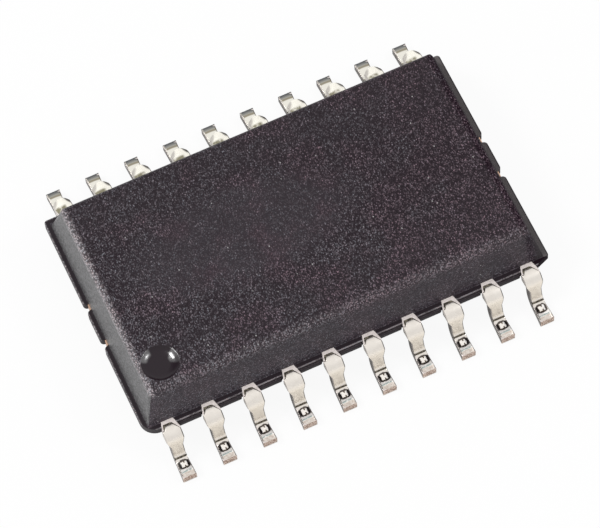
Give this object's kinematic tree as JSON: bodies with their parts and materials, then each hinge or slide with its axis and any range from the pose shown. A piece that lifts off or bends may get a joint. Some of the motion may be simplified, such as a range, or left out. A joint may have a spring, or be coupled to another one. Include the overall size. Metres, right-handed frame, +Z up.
{
  "type": "transceiver chip",
  "caption": "Surface-mount transceiver chip: dark moulded body with drafted sides, a parting flange and a pin-one dimple, and a row of gull-wing solder leads on each long side.",
  "frame": {"origin": "middle of the chip on the seating plane, level with the undersides of the feet", "axes": "+X along the rows of leads from pin one's end, +Y from pin one's row to the other row, +Z up through the top face"},
  "size_m": [0.0128, 0.0102, 0.0026],
  "materials": {
    "mold": "dark epoxy moulding compound, matt and slightly sparkling",
    "tinned_lead": "satin tin over copper",
    "copper": "bare stamped copper",
    "adhesive": "silver-filled epoxy",
    "silicon": "polished silicon",
    "gold": "drawn gold wire"
  },
  "bodies": {
    "root": {"mold_body": "mold", "die_pad": "copper", "die_attach": "adhesive", "die": "silicon", "lead_01": "tinned_lead", "lead_02": "tinned_lead", "lead_03": "tinned_lead", "lead_04": "tinned_lead", "lead_05": "tinned_lead", "lead_06": "tinned_lead", "lead_07": "tinned_lead", "lead_08": "tinned_lead", "lead_09": "tinned_lead", "lead_10": "tinned_lead", "lead_11": "tinned_lead", "lead_12": "tinned_lead", "lead_13": "tinned_lead", "lead_14": "tinned_lead", "lead_15": "tinned_lead", "lead_16": "tinned_lead", "lead_17": "tinned_lead", "lead_18": "tinned_lead", "lead_19": "tinned_lead", "lead_20": "tinned_lead", "bond_wire_01": "gold", "bond_wire_02": "gold", "bond_wire_03": "gold", "bond_wire_04": "gold", "bond_wire_05": "gold", "bond_wire_06": "gold", "bond_wire_07": "gold", "bond_wire_08": "gold", "bond_wire_09": "gold", "bond_wire_10": "gold", "bond_wire_11": "gold", "bond_wire_12": "gold", "bond_wire_13": "gold", "bond_wire_14": "gold", "bond_wire_15": "gold", "bond_wire_16": "gold", "bond_wire_17": "gold", "bond_wire_18": "gold", "bond_wire_19": "gold", "bond_wire_20": "gold"}
  },
  "joints": []
}
